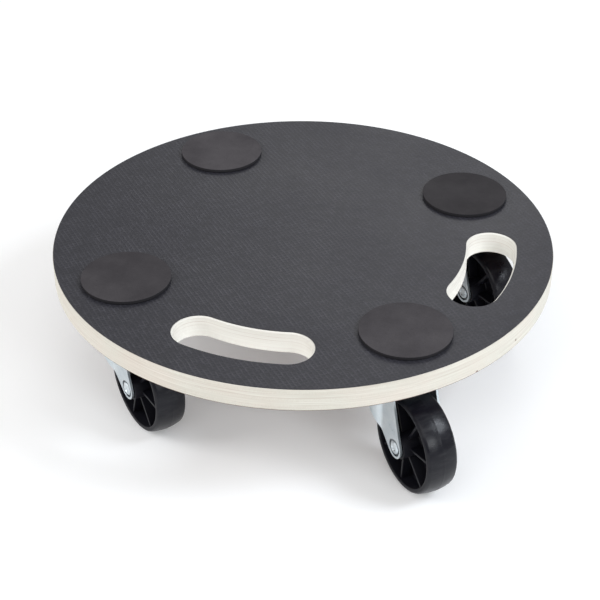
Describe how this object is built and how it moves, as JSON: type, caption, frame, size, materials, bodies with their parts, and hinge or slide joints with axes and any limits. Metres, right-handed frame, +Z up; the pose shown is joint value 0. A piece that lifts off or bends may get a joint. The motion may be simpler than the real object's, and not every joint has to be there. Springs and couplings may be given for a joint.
{
  "type": "furniture dolly",
  "caption": "Low round plywood dolly with hand slots, an anti-slip top with glued pads, and zinc-plated swivel casters with ribbed black wheels, for moving heavy loads.",
  "frame": {"origin": "on the floor, under the centre of the round deck", "axes": "+Z up; one hand slot lies towards -Y and the other towards +X"},
  "size_m": [0.4, 0.4, 0.1193],
  "materials": {
    "plywood": "sanded birch plywood edge, unvarnished",
    "antislip_film": "phenolic film with a fine pressed mesh",
    "underside_film": "smooth brown phenolic film",
    "rubber": "matte foam rubber",
    "zinc_steel": "bright zinc plating on pressed sheet",
    "bearing_steel": "greased bearing steel",
    "polypropylene": "satin moulded polypropylene"
  },
  "bodies": {
    "deck": {"deck_plywood": "plywood", "antislip_film": "antislip_film", "underside_film": "underside_film", "pad_front_right": "rubber", "top_plate_front_right": "zinc_steel", "kingpin_front_right": "zinc_steel", "lower_race_front_right": "zinc_steel", "screw_front_right_1": "zinc_steel", "screw_front_right_2": "zinc_steel", "screw_front_right_3": "zinc_steel", "screw_front_right_4": "zinc_steel", "pad_back_right": "rubber", "top_plate_back_right": "zinc_steel", "kingpin_back_right": "zinc_steel", "lower_race_back_right": "zinc_steel", "screw_back_right_1": "zinc_steel", "screw_back_right_2": "zinc_steel", "screw_back_right_3": "zinc_steel", "screw_back_right_4": "zinc_steel", "pad_back_left": "rubber", "top_plate_back_left": "zinc_steel", "kingpin_back_left": "zinc_steel", "lower_race_back_left": "zinc_steel", "screw_back_left_1": "zinc_steel", "screw_back_left_2": "zinc_steel", "screw_back_left_3": "zinc_steel", "screw_back_left_4": "zinc_steel", "pad_front_left": "rubber", "top_plate_front_left": "zinc_steel", "kingpin_front_left": "zinc_steel", "lower_race_front_left": "zinc_steel", "screw_front_left_1": "zinc_steel", "screw_front_left_2": "zinc_steel", "screw_front_left_3": "zinc_steel", "screw_front_left_4": "zinc_steel"},
    "caster_front_right": {"fork_front_right": "zinc_steel", "axle_front_right": "zinc_steel", "sleeve_front_right": "bearing_steel"},
    "balls_front_right": {"upper_balls_front_right": "bearing_steel", "lower_balls_front_right": "bearing_steel"},
    "roller_front_right": {"wheel_front_right": "polypropylene"},
    "caster_back_right": {"fork_back_right": "zinc_steel", "axle_back_right": "zinc_steel", "sleeve_back_right": "bearing_steel"},
    "balls_back_right": {"upper_balls_back_right": "bearing_steel", "lower_balls_back_right": "bearing_steel"},
    "roller_back_right": {"wheel_back_right": "polypropylene"},
    "caster_back_left": {"fork_back_left": "zinc_steel", "axle_back_left": "zinc_steel", "sleeve_back_left": "bearing_steel"},
    "balls_back_left": {"upper_balls_back_left": "bearing_steel", "lower_balls_back_left": "bearing_steel"},
    "roller_back_left": {"wheel_back_left": "polypropylene"},
    "caster_front_left": {"fork_front_left": "zinc_steel", "axle_front_left": "zinc_steel", "sleeve_front_left": "bearing_steel"},
    "balls_front_left": {"upper_balls_front_left": "bearing_steel", "lower_balls_front_left": "bearing_steel"},
    "roller_front_left": {"wheel_front_left": "polypropylene"}
  },
  "joints": [
    {"name": "swivel_front_right", "type": "hinge", "parent": "deck", "child": "caster_front_right", "pos_m": [0.10769, -0.10769, 0.0849], "axis": [0, 0, 1], "continuous": true},
    {"name": "wheel_spin_front_right", "type": "hinge", "parent": "caster_front_right", "child": "roller_front_right", "pos_m": [0.12969, -0.12954, 0.04], "axis": [0.7046, 0.7096, 0], "continuous": true},
    {"name": "ball_roll_front_right", "type": "hinge", "parent": "deck", "child": "balls_front_right", "pos_m": [0.10769, -0.10769, 0.0849], "axis": [0, 0, 1], "continuous": true},
    {"name": "swivel_back_right", "type": "hinge", "parent": "deck", "child": "caster_back_right", "pos_m": [0.10769, 0.10769, 0.0849], "axis": [0, 0, 1], "continuous": true},
    {"name": "wheel_spin_back_right", "type": "hinge", "parent": "caster_back_right", "child": "roller_back_right", "pos_m": [0.13168, 0.08806, 0.04], "axis": [0.6334, 0.7738, 0], "continuous": true},
    {"name": "ball_roll_back_right", "type": "hinge", "parent": "deck", "child": "balls_back_right", "pos_m": [0.10769, 0.10769, 0.0849], "axis": [0, 0, 1], "continuous": true},
    {"name": "swivel_back_left", "type": "hinge", "parent": "deck", "child": "caster_back_left", "pos_m": [-0.10769, 0.10769, 0.0849], "axis": [0, 0, 1], "continuous": true},
    {"name": "wheel_spin_back_left", "type": "hinge", "parent": "caster_back_left", "child": "roller_back_left", "pos_m": [-0.08465, 0.08695, 0.04], "axis": [0.6691, 0.7431, 0], "continuous": true},
    {"name": "ball_roll_back_left", "type": "hinge", "parent": "deck", "child": "balls_back_left", "pos_m": [-0.10769, 0.10769, 0.0849], "axis": [0, 0, 1], "continuous": true},
    {"name": "swivel_front_left", "type": "hinge", "parent": "deck", "child": "caster_front_left", "pos_m": [-0.11193, -0.10328, 0.0849], "axis": [0, 0, 1], "continuous": true},
    {"name": "wheel_spin_front_left", "type": "hinge", "parent": "caster_front_left", "child": "roller_front_left", "pos_m": [-0.08804, -0.12304, 0.04], "axis": [0.6374, 0.7705, 0], "continuous": true},
    {"name": "ball_roll_front_left", "type": "hinge", "parent": "deck", "child": "balls_front_left", "pos_m": [-0.11193, -0.10328, 0.0849], "axis": [0, 0, 1], "continuous": true}
  ],
  "couplings": [
    {"joint": "ball_roll_front_right", "follows": "swivel_front_right", "ratio": 0.5},
    {"joint": "ball_roll_back_right", "follows": "swivel_back_right", "ratio": 0.5},
    {"joint": "ball_roll_back_left", "follows": "swivel_back_left", "ratio": 0.5},
    {"joint": "ball_roll_front_left", "follows": "swivel_front_left", "ratio": 0.5}
  ]
}
